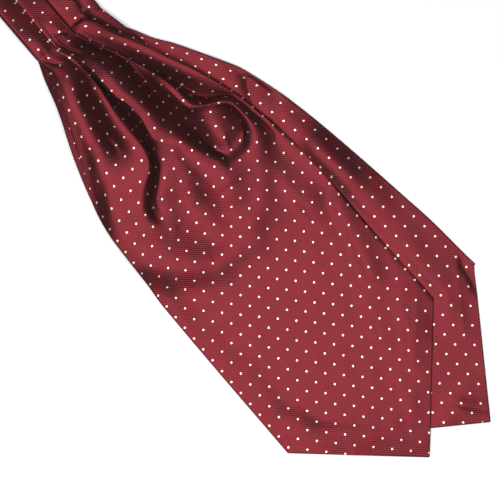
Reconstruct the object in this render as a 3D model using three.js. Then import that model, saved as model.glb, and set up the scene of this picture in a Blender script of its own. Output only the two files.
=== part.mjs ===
import * as THREE from 'three';

// A self-tie silk cravat, folded in half at the middle of its neckband and laid flat.
// Millimetres. +X runs along the upper blade towards its point, +Y across it, +Z up.
// All shapes are first worked out with the upper blade's point at x = 0, y = 0 and the surface
// that the cravat lies on at z = 0. The last lines move the whole to its own centre.

// Sizes of the cut
const bladeLength = 397;
const wall = 1.2;
const seamGap = 0.3;
const layGap = 0.45;
const rimBulge = 0.35;

// Point of a blade: its two edges meet at a right angle, a little askew
const leftCorner = { x: -67.6, y: -75 };
const rightCorner = { x: -83.9, y: 75 };
const endZoneStart = -150;

// The lower blade has the same cut, and lies turned and pushed out under the upper one
const lowerTurn = THREE.MathUtils.degToRad(7.4);
const lowerTip = { x: 9.1, y: 49.5 };

// Neckband: four pleat strips side by side, stitched across at the tack line
const bandHalfLength = 200;
const bandStart = -bladeLength - bandHalfLength;
const turnReach = 4.3;

const silk = { color: 0x8e2536, roughness: 0.42, metalness: 0 };

// Lines that run down the upper blade from the tack line: where the cloth crests, creases or ends.
// Three pleats, A, B and C, run out of the neckband. The cloth between B and C opens into a lobe
// with a hollow beside it. round is 1 where the cloth turns in a curve and 0 at a crease. steps is
// the number of strips up to the next line.
const bladeLines = [
  { name: 'hemLeft', round: 0, steps: 1 },
  { name: 'flank', round: 0, steps: 2 },
  { name: 'footA', round: 0, steps: 2 },
  { name: 'crestA', round: 1, steps: 3 },
  { name: 'valleyA', round: 0, steps: 3 },
  { name: 'crestAB', round: 1, steps: 2 },
  { name: 'footB', round: 0, steps: 2 },
  { name: 'shoulderB', round: 0, steps: 2 },
  { name: 'crestB', round: 1, steps: 4 },
  { name: 'valleyB', round: 0, steps: 2 },
  { name: 'spur', round: 0, steps: 1 },
  { name: 'lobe', round: 0, steps: 2 },
  { name: 'hollow', round: 0, steps: 1 },
  { name: 'crestBC', round: 1, steps: 2 },
  { name: 'footC', round: 0, steps: 1 },
  { name: 'lipC', round: 0, steps: 1 },
  { name: 'crestC', round: 1, steps: 2 },
  { name: 'hemRight', round: 0, steps: 1 },
  { name: 'flangeFoot', round: 0, steps: 1 },
  { name: 'flangeEdge', round: 0, steps: 0 },
];

// Plan of the folds: y of each line, a row for each section of the blade.
// Columns: x, then the lines in the order above.
const foldPlan = [
  [-397, -29.6, -29.3, -29.0, -28.2, -16.2, -15.4, -14.8, -14.4, -14.0, 0.9, 1.2, 1.4, 1.5, 1.8, 2.1,
   2.6, 11.5, 17.4, 17.8, 28.8],
  [-391, -31.5, -29.6, -28.4, -27.2, -14.4, -13.6, -12.8, -12.4, -11.8, 3.7, 4.0, 4.2, 4.3, 4.6, 4.9,
   5.4, 16.0, 20.6, 21.0, 29.9],
  [-384, -34.2, -28.9, -26.4, -24.9, -11.8, -10.9, -9.9, -9.3, -8.5, 6.1, 6.4, 6.6, 6.7, 7.0, 7.3, 7.8,
   19.4, 23.4, 23.8, 31.4],
  [-376, -36.6, -31.2, -27.8, -25.8, -11.0, -9.4, -8.2, -7.3, -6.2, 10.1, 10.4, 10.6, 10.7, 11.0, 11.3,
   11.8, 23.0, 26.6, 27.0, 33.1],
  [-366, -39.5, -35.0, -31.2, -28.6, -13.6, -8.6, -6.8, -5.8, -4.6, 15.2, 15.5, 15.7, 15.8, 16.1, 16.4,
   16.9, 28.0, 31.4, 31.8, 35.4],
  [-354, -43.8, -39.6, -35.2, -32.2, -19.4, -9.5, -5.9, -4.8, -3.4, 19.2, 19.6, 20.0, 20.4, 20.9, 21.6,
   22.8, 32.6, 36.4, 36.8, 37.4],
  [-342, -48.9, -46.2, -40.8, -35.8, -23.6, -11.6, -6.1, -4.2, -2.0, 19.0, 20.8, 22.2, 23.4, 25.6, 27.8,
   29.0, 37.6, 41.1, 41.5, 41.9],
  [-330, -53.8, -52.4, -46.4, -39.2, -26.2, -13.5, -6.2, -3.2, 0.2, 18.6, 21.4, 23.8, 26.2, 29.6, 32.8,
   34.4, 43.0, 46.6, 47.0, 47.4],
  [-318, -58.2, -57.2, -51.2, -41.5, -26.8, -15.0, -6.8, -3.2, 0.7, 19.4, 22.8, 25.4, 28.2, 31.7, 36.6,
   39.2, 48.4, 51.7, 52.1, 52.5],
  [-310, -60.9, -60.0, -54.8, -44.4, -27.0, -15.4, -7.9, -4.0, -0.2, 20.2, 23.6, 26.2, 28.8, 32.3, 39.0,
   42.2, 52.0, 54.8, 55.2, 55.6],
  [-302, -63.4, -62.6, -58.6, -48.0, -28.4, -15.6, -9.4, -4.6, -0.4, 21.4, 25.2, 27.8, 30.6, 33.8, 43.0,
   47.2, 55.4, 57.7, 58.1, 58.5],
  [-296, -65.1, -64.4, -61.2, -51.4, -30.6, -16.2, -11.1, -5.8, 1.4, 22.6, 28.8, 33.2, 37.0, 40.2, 49.6,
   53.0, 58.0, 59.8, 60.2, 60.6],
  [-290, -66.9, -66.2, -63.4, -54.6, -34.0, -18.8, -13.4, -7.4, 4.6, 23.6, 31.8, 39.0, 45.6, 51.0, 59.0,
   59.9, 60.8, 61.8, 62.2, 62.6],
  [-284, -68.5, -67.8, -65.4, -57.8, -38.6, -24.4, -17.0, -9.4, 7.2, 24.0, 32.2, 41.0, 50.8, 56.4, 61.3,
   62.0, 62.7, 63.5, 63.9, 64.3],
  [-278, -69.7, -68.2, -66.0, -60.2, -43.2, -31.4, -22.8, -15.0, 9.8, 24.2, 32.2, 41.0, 51.6, 57.0,
   62.7, 63.4, 64.1, 64.9, 65.3, 65.7],
  [-272, -70.7, -69.4, -67.4, -62.6, -47.0, -37.4, -29.4, -21.6, 13.0, 24.8, 32.2, 40.4, 51.2, 56.7,
   63.5, 64.3, 65.1, 65.9, 66.3, 66.7],
  [-266, -71.4, -70.2, -68.6, -64.4, -50.0, -40.4, -34.6, -28.6, 15.6, 26.2, 32.4, 39.0, 49.6, 55.8,
   64.1, 65.0, 65.9, 66.8, 67.2, 67.6],
  [-258, -71.9, -70.9, -69.4, -65.8, -51.8, -41.0, -36.6, -31.6, 18.6, 29.8, 32.8, 37.2, 45.8, 54.0,
   65.0, 66.2, 67.4, 68.6, 69.0, 69.4],
  [-250, -72.3, -71.3, -69.8, -66.0, -52.0, -42.0, -37.0, -32.0, 19.6, 27.0, 32.0, 36.4, 42.0, 51.4,
   64.6, 66.4, 68.2, 69.8, 70.2, 70.6],
  [-240, -72.7, -71.4, -69.4, -64.4, -51.6, -43.0, -36.6, -29.6, 17.0, 24.6, 31.0, 34.6, 38.2, 46.6,
   59.6, 63.8, 67.4, 71.0, 71.4, 71.8],
  [-225, -73.4, -71.2, -68.0, -62.0, -50.0, -40.6, -33.4, -26.0, 10.0, 19.4, 26.8, 30.4, 34.0, 41.6,
   56.0, 61.6, 66.8, 72.1, 72.5, 72.9],
  [-205, -75.0, -71.2, -66.4, -58.8, -47.0, -37.0, -28.6, -20.6, 3.0, 13.6, 21.4, 24.9, 28.4, 35.6,
   50.6, 58.0, 66.0, 73.1, 73.5, 73.9],
  [-150, -75.3, -70.6, -65.0, -55.0, -42.5, -32.0, -23.0, -14.6, 0.0, 9.4, 17.0, 20.2, 23.4, 30.0, 43.0,
   52.5, 63.5, 73.4, 73.8, 74.2],
  [0, -75.0, -70.4, -64.8, -54.8, -42.2, -31.6, -22.6, -14.2, 0.0, 9.4, 17.0, 20.2, 23.4, 30.0, 43.0,
   52.5, 63.8, 75.0, 75.4, 75.8],
];

// Heights of the same lines above what the blade lies on, in the same sections and order
const foldHeight = [
  [-397, 1.3, 1.9, 2.6, 3.6, 2.9, 2.7, 2.5, 3.4, 4.2, 3.0, 2.9, 2.8, 2.8, 2.7, 2.6, 4.1, 4.9, 4.6, 2.6,
   2.2],
  [-391, 1.3, 1.7, 3.2, 5.0, 2.2, 2.1, 2.0, 4.2, 5.6, 2.0, 1.9, 1.9, 1.8, 1.7, 1.6, 4.0, 5.4, 4.8, 3.0,
   2.4],
  [-384, 1.3, 1.9, 5.0, 7.2, 1.8, 1.8, 1.7, 5.4, 8.0, 2.0, 1.9, 1.9, 1.8, 1.7, 1.6, 3.8, 6.2, 5.3, 3.4,
   2.6],
  [-376, 1.2, 2.0, 6.8, 9.6, 1.5, 1.9, 1.6, 7.4, 10.8, 2.0, 1.9, 1.9, 1.8, 1.7, 1.6, 3.4, 7.2, 6.0, 3.8,
   2.9],
  [-366, 1.2, 2.2, 8.4, 11.8, 1.4, 4.6, 2.0, 9.6, 13.8, 2.0, 1.9, 1.9, 1.8, 1.7, 1.6, 2.8, 8.2, 7.6,
   5.4, 4.4],
  [-354, 1.2, 2.4, 9.0, 12.8, 1.4, 8.2, 3.0, 10.6, 16.0, 1.5, 1.7, 1.9, 2.1, 2.3, 1.5, 2.6, 9.0, 8.7,
   8.2, 7.6],
  [-342, 1.2, 2.2, 9.0, 12.4, 1.4, 9.8, 2.4, 11.0, 16.2, 1.4, 4.0, 6.2, 7.4, 7.8, 1.6, 2.6, 9.0, 8.8,
   8.4, 8.0],
  [-330, 1.2, 1.8, 7.6, 11.4, 1.5, 9.8, 2.0, 9.8, 15.0, 1.4, 5.2, 8.2, 9.8, 10.2, 1.6, 2.9, 9.0, 8.8,
   8.4, 8.0],
  [-318, 1.2, 1.7, 5.6, 9.9, 1.7, 8.8, 1.8, 8.2, 13.0, 1.4, 5.8, 9.2, 11.1, 11.5, 1.6, 3.0, 8.4, 8.2,
   7.8, 7.4],
  [-310, 1.2, 1.6, 4.2, 8.8, 2.8, 7.9, 1.7, 7.4, 12.0, 1.3, 5.8, 9.2, 11.2, 11.7, 1.6, 3.0, 7.4, 7.2,
   6.8, 6.4],
  [-302, 1.2, 1.5, 3.0, 8.0, 5.0, 7.6, 1.6, 7.8, 11.2, 1.3, 6.0, 9.4, 11.2, 11.6, 1.6, 3.0, 6.0, 5.9,
   5.5, 5.1],
  [-296, 1.2, 1.4, 2.5, 7.2, 6.2, 7.2, 1.5, 8.0, 10.4, 1.3, 6.4, 9.4, 10.8, 11.4, 1.6, 2.5, 4.6, 4.5,
   4.1, 3.7],
  [-290, 1.2, 1.4, 2.2, 6.5, 6.3, 7.0, 1.5, 7.9, 9.6, 1.3, 7.6, 9.6, 10.2, 11.0, 2.0, 2.3, 3.0, 2.9,
   2.5, 2.1],
  [-284, 1.2, 1.4, 2.0, 5.9, 6.2, 6.6, 1.5, 7.5, 8.5, 1.3, 7.6, 8.8, 6.0, 10.4, 1.9, 2.0, 2.3, 2.2, 1.7,
   1.3],
  [-278, 1.2, 1.5, 1.9, 5.4, 5.9, 6.3, 1.5, 6.9, 7.4, 1.4, 7.2, 8.0, 2.6, 9.8, 1.7, 1.8, 2.1, 2.0, 1.5,
   1.1],
  [-272, 1.2, 1.5, 1.8, 4.8, 5.6, 6.0, 1.5, 6.4, 6.6, 1.5, 6.6, 7.0, 1.7, 8.9, 1.6, 1.7, 2.0, 1.9, 1.4,
   1.0],
  [-266, 1.2, 1.4, 1.7, 4.2, 5.3, 5.6, 1.7, 5.9, 6.0, 1.6, 5.2, 5.4, 1.7, 8.0, 1.6, 1.7, 1.9, 1.8, 1.3,
   0.9],
  [-258, 1.2, 1.4, 1.7, 3.5, 4.9, 5.0, 2.8, 5.1, 5.4, 2.0, 2.8, 2.6, 1.9, 6.9, 1.6, 1.6, 1.7, 1.6, 1.2,
   0.8],
  [-250, 1.2, 1.4, 1.6, 2.9, 4.5, 4.5, 4.4, 4.6, 5.0, 4.9, 4.9, 4.9, 5.0, 5.9, 1.9, 1.7, 1.6, 1.5, 1.0,
   0.7],
  [-240, 1.2, 1.4, 1.7, 3.1, 3.8, 3.9, 3.9, 4.0, 4.1, 4.1, 4.1, 4.2, 4.2, 4.7, 2.4, 1.9, 1.8, 1.4, 0.9,
   0.6],
  [-225, 1.2, 1.3, 1.5, 2.4, 2.9, 3.0, 3.0, 3.1, 3.1, 3.1, 3.1, 3.2, 3.2, 3.4, 2.3, 1.8, 1.6, 1.3, 0.9,
   0.6],
  [-205, 1.2, 1.2, 1.3, 1.8, 2.1, 2.1, 2.1, 2.2, 2.2, 2.2, 2.2, 2.2, 2.2, 2.3, 1.8, 1.5, 1.3, 1.2, 0.9,
   0.6],
  [-150, 1.2, 1.2, 1.2, 1.2, 1.2, 1.2, 1.2, 1.2, 1.2, 1.2, 1.2, 1.2, 1.2, 1.2, 1.2, 1.2, 1.2, 1.2, 0.9,
   0.6],
  [0, 1.2, 1.2, 1.2, 1.2, 1.2, 1.2, 1.2, 1.2, 1.2, 1.2, 1.2, 1.2, 1.2, 1.2, 1.2, 1.2, 1.2, 1.2, 0.9,
   0.6],
];

// Outline of the lower blade beside its own middle line. Columns: x, left, right, pile.
// pile is how thick its stitched pleats lie.
const lowerOutline = [
  [-397, -29.0, 29.0, 3.6],
  [-386, -31.5, 32.4, 4.0],
  [-375.5, -34.6, 36.6, 3.9],
  [-363.8, -38.8, 40.8, 3.5],
  [-349.5, -44.8, 48.2, 2.9],
  [-332, -51.6, 55.5, 2.3],
  [-314.4, -58.6, 62.7, 1.8],
  [-302, -63.2, 67.3, 1.5],
  [-278, -69.2, 71.8, 1.4],
  [-260, -72.4, 74.1, 1.4],
  [-229, -74.6, 76.2, 1.4],
  [-170, -75.4, 77.6, 1.4],
  [-110, -75.4, 78.0, 1.4],
  [0, -75.2, 76.2, 1.4],
];

// Soft swells of the lower blade's open side, in its own frame
const lowerSwells = [
  { x: -318, y: 58, length: 34, breadth: 16, height: 2.2 },
  { x: -268, y: 60, length: 17, breadth: 20, height: 2.4 },
  { x: -215, y: 66, length: 46, breadth: 12, height: 1.4 },
];

// How thick the lower half of the neckband lies. Columns: x, thickness.
const bandPile = [
  [bandStart - turnReach, 4.0],
  [-425, 4.0],
  [-403, 3.6],
  [-384, 3.4],
];

// Strips of the neckband, from left to right. Each starts at its folded lip on the strip before.
const bandStrips = [
  { from: -28.8, to: -14.6, lip: 3.7, end: 2.4 },
  { from: -14.0, to: 1.2, lip: 4.2, end: 2.7 },
  { from: 1.9, to: 16.6, lip: 4.1, end: 4.1 },
  { from: 17.1, to: 28.4, lip: 2.6, end: 2.2 },
];
const stripSteps = 4;
const tackPuff = 0.4;
const bandPuff = 1.1;
const puffReach = 14;

const clamp01 = (value) => Math.min(1, Math.max(0, value));
const smooth = (value) => clamp01(value) ** 2 * (3 - 2 * clamp01(value));
const mix = (a, b, share) => a + (b - a) * share;

// A smooth curve through table rows that never swings past them: column value at x
function columnAt(table, column, x) {
  const last = table.length - 1;
  let row = 0;
  while (row < last - 1 && x > table[row + 1][0]) row += 1;
  const grade = (i) => (table[i + 1][column] - table[i][column]) / (table[i + 1][0] - table[i][0]);
  const bend = (i) => {
    if (i === 0 || i === last) return 0;
    const before = grade(i - 1);
    const after = grade(i);
    return before * after <= 0 ? 0 : (2 * before * after) / (before + after);
  };
  const span = table[row + 1][0] - table[row][0];
  const w = clamp01((x - table[row][0]) / span);
  const rise = table[row + 1][column] - table[row][column];
  const start = bend(row) * span;
  const end = bend(row + 1) * span;
  return table[row][column] + start * w * (1 - w) ** 2 - end * w * w * (1 - w)
    + rise * w * w * (3 - 2 * w);
}

// Share of the way from one line to the next: flat at a round line, steep at a crease
function turnShare(w, roundStart, roundEnd) {
  const slopeStart = (1 - roundStart) * (1 + roundEnd / 2);
  const slopeEnd = (1 - roundEnd) * (1 + roundStart / 2);
  return slopeStart * w * (1 - w) ** 2 - slopeEnd * w * w * (1 - w) + w * w * (3 - 2 * w);
}

// Where the point's edges run: x of the blade's end at y
function endOfBlade(y) {
  const corner = y < 0 ? leftCorner : rightCorner;
  return corner.x * clamp01(y / corner.y);
}

// Own place of a point on the lower blade, and back
function toLower(x, y) {
  const dx = x - lowerTip.x;
  const dy = y - lowerTip.y;
  return {
    x: dx * Math.cos(lowerTurn) + dy * Math.sin(lowerTurn),
    y: dy * Math.cos(lowerTurn) - dx * Math.sin(lowerTurn),
  };
}
function fromLower(x, y, z) {
  return new THREE.Vector3(
    lowerTip.x + x * Math.cos(lowerTurn) - y * Math.sin(lowerTurn),
    lowerTip.y + x * Math.sin(lowerTurn) + y * Math.cos(lowerTurn),
    z,
  );
}

// Top of the lower blade at its own x, y: the stitched pleats and the soft swells
function lowerTop(x, y) {
  let z = columnAt(lowerOutline, 3, x);
  for (const swell of lowerSwells) {
    const along = (x - swell.x) / swell.length;
    const across = (y - swell.y) / swell.breadth;
    z += swell.height * Math.exp(-along * along - across * across);
  }
  return z;
}

// What the upper blade lies on: the lower blade, and the surface beyond its edge
const coverReach = 19;
const coverLip = 3.5;
function restHeight(x, y) {
  const own = toLower(x, y);
  const fromSide = own.y - columnAt(lowerOutline, 1, own.x);
  const fromEnd = (endOfBlade(own.y) - own.x) * Math.SQRT1_2;
  const inside = Math.min(fromSide, fromEnd);
  const covered = smooth((inside + coverReach) / (coverReach - coverLip));
  return covered * (lowerTop(own.x, own.y) + layGap);
}

// A closed wall between a top and a bottom grid of points. Its rim bulges once for each layer of
// cloth, but stays flat along the first or last row where the next piece begins.
function wallBetween(top, bottom, { layers = 1, flatFirst = true, flatLast = false } = {}) {
  const rows = top.length;
  const columns = top[0].length;
  const points = [];
  const faces = [];
  const index = (row, column, side) => 2 * (row * columns + column) + side;
  const quad = (a, b, c, d) => faces.push([a, b, c], [a, c, d]);
  for (let row = 0; row < rows; row += 1) {
    for (let column = 0; column < columns; column += 1) {
      points.push(top[row][column], bottom[row][column]);
    }
  }
  for (let row = 0; row + 1 < rows; row += 1) {
    for (let column = 0; column + 1 < columns; column += 1) {
      quad(index(row, column, 0), index(row + 1, column, 0),
        index(row + 1, column + 1, 0), index(row, column + 1, 0));
      quad(index(row, column, 1), index(row, column + 1, 1),
        index(row + 1, column + 1, 1), index(row + 1, column, 1));
    }
  }
  const rim = [];
  for (let column = 0; column < columns; column += 1) rim.push([0, column]);
  for (let row = 1; row < rows; row += 1) rim.push([row, columns - 1]);
  for (let column = columns - 2; column >= 0; column -= 1) rim.push([rows - 1, column]);
  for (let row = rows - 2; row > 0; row -= 1) rim.push([row, 0]);
  const rings = [rim.map(([row, column]) => index(row, column, 0))];
  const levels = 2 * layers;
  for (let level = 1; level < levels; level += 1) {
    const bulge = level % 2 === 1 ? rimBulge : 0;
    rings.push(rim.map(([row, column], place) => {
      const [rowBefore, columnBefore] = rim[(place + rim.length - 1) % rim.length];
      const [rowAfter, columnAfter] = rim[(place + 1) % rim.length];
      const from = top[rowBefore][columnBefore];
      const to = top[rowAfter][columnAfter];
      const outward = new THREE.Vector3(from.y - to.y, to.x - from.x, 0).normalize();
      const flat = (flatFirst && row === 0) || (flatLast && row === rows - 1);
      const point = top[row][column].clone().lerp(bottom[row][column], level / levels);
      return points.push(point.addScaledVector(outward, flat ? 0 : bulge)) - 1;
    }));
  }
  rings.push(rim.map(([row, column]) => index(row, column, 1)));
  for (let level = 0; level < levels; level += 1) {
    for (let place = 0; place < rim.length; place += 1) {
      const next = (place + 1) % rim.length;
      quad(rings[level][place], rings[level][next],
        rings[level + 1][next], rings[level + 1][place]);
    }
  }
  const geometry = new THREE.BufferGeometry();
  geometry.setAttribute('position', new THREE.Float32BufferAttribute(
    points.flatMap((point) => [point.x, point.y, point.z]), 3));
  geometry.setIndex(faces.flat());
  geometry.computeVertexNormals();
  return geometry;
}

// Places along a piece, from a start and a list of stretches that each end somewhere
function placesAlong(start, stretches) {
  const places = [start];
  for (const { to, count } of stretches) {
    const from = places[places.length - 1];
    for (let step = 1; step <= count; step += 1) places.push(mix(from, to, step / count));
  }
  return places;
}

// Under side of a wall below its top points: as thick on a slope as on the flat, and never
// under what the cloth lies on
const steepest = 3;
function underSide(top, thickness, restAt) {
  const rows = top.length;
  const columns = top[0].length;
  return top.map((line, row) => line.map((point, column) => {
    const left = line[Math.max(column - 1, 0)];
    const right = line[Math.min(column + 1, columns - 1)];
    const before = top[Math.max(row - 1, 0)][column];
    const after = top[Math.min(row + 1, rows - 1)][column];
    const across = (right.z - left.z) / Math.max(Math.abs(right.y - left.y), thickness);
    const along = (after.z - before.z) / Math.max(Math.abs(after.x - before.x), thickness);
    const steepness = Math.min(steepest, Math.hypot(1, across, along));
    const floor = restAt(point);
    return new THREE.Vector3(point.x, point.y, Math.max(floor, point.z - thickness * steepness));
  }));
}

// Upper blade: the fold lines carried down the blade, with the cloth turning from one to the next
const upperStretches = [
  { to: -282, count: 26 },
  { to: -205, count: 9 },
  { to: 0, count: 9 },
];
function upperBlade() {
  const top = placesAlong(-bladeLength, upperStretches).map((x) => {
    const endShare = clamp01(1 - x / endZoneStart);
    const pointAt = (y, height) => {
      const place = endShare > 0 ? mix(endZoneStart, endOfBlade(y), endShare) : x;
      return new THREE.Vector3(place, y, restHeight(place, y) + height);
    };
    return bladeLines.flatMap((line, at) => {
      const y = columnAt(foldPlan, at + 1, x);
      const height = columnAt(foldHeight, at + 1, x);
      if (at === bladeLines.length - 1) return [pointAt(y, height)];
      const nextY = columnAt(foldPlan, at + 2, x);
      const nextHeight = columnAt(foldHeight, at + 2, x);
      const nextRound = bladeLines[at + 1].round;
      return Array.from({ length: line.steps }, (_, step) => {
        const w = step / line.steps;
        return pointAt(mix(y, nextY, w), mix(height, nextHeight, turnShare(w, line.round, nextRound)));
      });
    });
  });
  return wallBetween(top, underSide(top, wall, (point) => restHeight(point.x, point.y)));
}

// Lower blade: flat where it rests, with its stitched pleats one pile at the neck end
const lowerStretches = [
  { to: -282, count: 13 },
  { to: -205, count: 7 },
  { to: 0, count: 8 },
];
const lowerHalfColumns = 9;
const liftedFrom = 0.5; // a swell lower than this lies on the surface
function lowerBlade() {
  const bottom = [];
  const top = placesAlong(-bladeLength, lowerStretches).map((x) => {
    const endShare = clamp01(1 - x / endZoneStart);
    const left = columnAt(lowerOutline, 1, x);
    const right = columnAt(lowerOutline, 2, x);
    const across = placesAlong(left, [
      { to: 0, count: lowerHalfColumns },
      { to: right, count: lowerHalfColumns },
    ]);
    const places = across.map((y) => (endShare > 0 ? mix(endZoneStart, endOfBlade(y), endShare) : x));
    bottom.push(across.map((y, at) => {
      const swell = lowerTop(places[at], y) - columnAt(lowerOutline, 3, places[at]);
      return fromLower(places[at], y, Math.max(0, swell - liftedFrom));
    }));
    return across.map((y, at) => fromLower(places[at], y, lowerTop(places[at], y)));
  });
  return wallBetween(top, bottom);
}

// Section of the neckband's face: lips, crowned strips and the step down to the next strip
function bandSection(puff) {
  return bandStrips.flatMap(({ from, to, lip, end }) => placesAlong(0, [{ to: 1, count: stripSteps }])
    .map((w) => ({ y: mix(from, to, w), height: mix(lip, end, w) + puff * Math.sin(Math.PI * w) })));
}

// Upper half of the neckband
const upperBandStretches = [
  { to: -425, count: 6 },
  { to: -bladeLength - seamGap, count: 6 },
];
function upperNeckband() {
  const bottom = [];
  const top = placesAlong(bandStart, upperBandStretches).map((x) => {
    const rest = columnAt(bandPile, 1, x) + seamGap;
    const puff = mix(tackPuff, bandPuff, smooth((-bladeLength - x) / puffReach));
    const section = bandSection(puff);
    bottom.push(section.map(({ y }) => new THREE.Vector3(x, y, rest)));
    return section.map(({ y, height }) => new THREE.Vector3(x, y, rest + height));
  });
  return wallBetween(top, bottom, { flatLast: true });
}

// Lower half of the neckband, which bends to meet the lower blade squarely
const lowerBandColumns = [-28.2, -14, 0, 14, 27.8];
const lowerBandBend = { start: -440, end: -384.9 };
const lowerBandLayers = 3;
const lowerBandStretches = [
  { to: lowerBandBend.start, count: 2 },
  { to: lowerBandBend.end, count: 8 },
];
function lowerNeckband() {
  const rows = placesAlong(bandStart, lowerBandStretches);
  const gridAt = (heightAt) => rows.map((x) => {
    const share = smooth((x - lowerBandBend.start) / (lowerBandBend.end - lowerBandBend.start));
    return lowerBandColumns.map((y) => {
      const end = fromLower(-bladeLength - seamGap, y, 0);
      return new THREE.Vector3(mix(x, end.x, share), mix(y, end.y, share), heightAt(x));
    });
  });
  const top = gridAt((x) => columnAt(bandPile, 1, x));
  return wallBetween(top, gridAt(() => 0), { layers: lowerBandLayers, flatLast: true });
}

// Centre back: the rounded fold that joins the two halves
const turnSteps = 6;
const turnNose = THREE.MathUtils.degToRad(12);
function neckbandTurn() {
  const section = bandSection(bandPuff);
  const rest = columnAt(bandPile, 1, bandStart) + seamGap;
  const angles = placesAlong(turnNose, [{ to: Math.PI / 2, count: turnSteps }]);
  const gridAt = (heightAt) => angles.map((angle) => section.map(({ y, height }) => {
    const middle = (rest + height) / 2;
    const x = bandStart - seamGap - turnReach * Math.cos(angle);
    return new THREE.Vector3(x, y, middle + (heightAt(height) - middle) * Math.sin(angle));
  }));
  const top = gridAt((height) => rest + height);
  return wallBetween(top, gridAt(() => 0), { flatFirst: false, flatLast: true });
}

const group = new THREE.Group();
const pieces = {
  upper_blade: upperBlade(),
  lower_blade: lowerBlade(),
  upper_neckband: upperNeckband(),
  lower_neckband: lowerNeckband(),
  neckband_turn: neckbandTurn(),
};
for (const [name, geometry] of Object.entries(pieces)) {
  const mesh = new THREE.Mesh(geometry, new THREE.MeshStandardMaterial(silk));
  mesh.name = name;
  group.add(mesh);
}

// The whole stands at its own centre, on z = 0
const bounds = new THREE.Box3().setFromObject(group);
const centre = bounds.getCenter(new THREE.Vector3());
group.children.forEach((mesh) => mesh.position.set(-centre.x, -centre.y, -bounds.min.z));

export default group;
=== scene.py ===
import math
import bpy
import numpy as np
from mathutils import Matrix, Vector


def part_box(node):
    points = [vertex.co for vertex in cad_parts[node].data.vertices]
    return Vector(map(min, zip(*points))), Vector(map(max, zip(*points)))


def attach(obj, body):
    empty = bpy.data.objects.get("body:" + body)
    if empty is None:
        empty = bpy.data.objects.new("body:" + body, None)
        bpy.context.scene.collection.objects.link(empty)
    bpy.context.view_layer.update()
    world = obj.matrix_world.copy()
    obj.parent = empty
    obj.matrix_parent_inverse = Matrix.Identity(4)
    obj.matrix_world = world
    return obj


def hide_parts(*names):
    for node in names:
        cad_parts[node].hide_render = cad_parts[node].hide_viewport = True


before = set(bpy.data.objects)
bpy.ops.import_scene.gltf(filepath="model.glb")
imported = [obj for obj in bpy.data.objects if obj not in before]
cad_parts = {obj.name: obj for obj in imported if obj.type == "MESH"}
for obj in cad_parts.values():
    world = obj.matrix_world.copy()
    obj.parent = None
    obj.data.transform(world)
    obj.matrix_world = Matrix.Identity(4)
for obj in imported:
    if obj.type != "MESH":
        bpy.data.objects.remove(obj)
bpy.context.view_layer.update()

# Silk cravat, folded in half at the neckband and laid flat, seen from straight above.
# Lengths in the tables are millimetres, measured from the upper blade's point: x runs towards
# that point (so the cloth lies at negative x), y across the blade, z up from the table.

mm = 0.001
bandStart = -597.0    # where the upper half of the neckband begins, in the tables
bandMiddle = -0.2     # and its middle across
bandLow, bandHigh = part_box("upper_neckband")
originX = bandLow.x * 1000 - bandStart
originY = (bandLow.y + bandHigh.y) / 2 * 1000 - bandMiddle


def say(words):
    print("cravat:", words)


# Small helpers on arrays

def clamp01(value):
    # held between 0 and 1
    return np.clip(value, 0.0, 1.0)


def smooth(value):
    # 3v2 - 2v3 between 0 and 1
    v = clamp01(value)
    return v * v * (3 - 2 * v)


def mix(a, b, share):
    # straight line from a at share 0 to b at share 1
    return a + (b - a) * share


def spread(start, *stretches):
    # places from start through (end, count) stretches, evenly spaced in each
    places = [np.array([start], float)]
    for end, count in stretches:
        places.append(np.linspace(places[-1][-1], end, count + 1)[1:])
    return np.concatenate(places)


def tableAt(table, x):
    # Cubic curve through the rows of a table, per column, that never swings past them: the slope
    # at a row is the harmonic mean of the two slopes beside it, and 0 at a turn and at the ends.
    # Gives one row of columns for each x.
    table = np.asarray(table, float)
    knots, values = table[:, 0], table[:, 1:]
    grade = np.diff(values, axis=0) / np.diff(knots)[:, None]
    before, after = grade[:-1], grade[1:]
    product, total = before * after, before + after
    bend = np.zeros_like(values)
    bend[1:-1] = np.where(product > 0, 2 * product / np.where(total == 0, 1, total), 0)
    x = np.atleast_1d(np.asarray(x, float))
    row = np.clip(np.searchsorted(knots, x, side="right") - 1, 0, len(knots) - 2)
    span = (knots[row + 1] - knots[row])[:, None]
    w = clamp01((x - knots[row])[:, None] / span)
    ease = w * w * (3 - 2 * w)
    curve = bend[row] * span * w * (1 - w) ** 2 - bend[row + 1] * span * w * w * (1 - w)
    return mix(values[row], values[row + 1], ease) + curve


def soften(grid, rounds):
    # evens a grid of numbers out: each inner one becomes a quarter of both neighbours and a half
    # of itself, down the rows and then across
    grid = grid.copy()
    for _ in range(rounds):
        grid[1:-1] = (grid[:-2] + 2 * grid[1:-1] + grid[2:]) / 4
        grid[:, 1:-1] = (grid[:, :-2] + 2 * grid[:, 1:-1] + grid[:, 2:]) / 4
    return grid


# Cut of the blades

cut = {
    "length": 397.0,
    "width": 150.0,
    "wall": 1.2,
    "leftCorner": (-67.6, -75.0),
    "rightCorner": (-83.9, 75.0),
    "endZone": -150.0,     # from here on the sections lean towards the pointed end
    "lowerTurn": math.radians(7.4),
    "lowerTip": (9.1, 49.5),
    "layGap": 0.45,        # between the two blades
    # the upper blade comes down to the table from coverLip to coverReach outside the lower one's
    # edge, each near the point and farther up, changing between the two x of coverChange
    "coverReach": (22.0, 26.0),
    "coverLip": (2.0, 0.0),
    "coverChange": (-60.0, -120.0),
}
diagonal = math.sqrt(0.5)  # turns a distance along x into one square to an edge at 45 degrees


def endOfBlade(y):
    # x of the pointed end at y: a straight edge from each corner to the point
    left = cut["leftCorner"][0] * clamp01(y / cut["leftCorner"][1])
    right = cut["rightCorner"][0] * clamp01(y / cut["rightCorner"][1])
    return np.where(y < 0, left, right)


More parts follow.
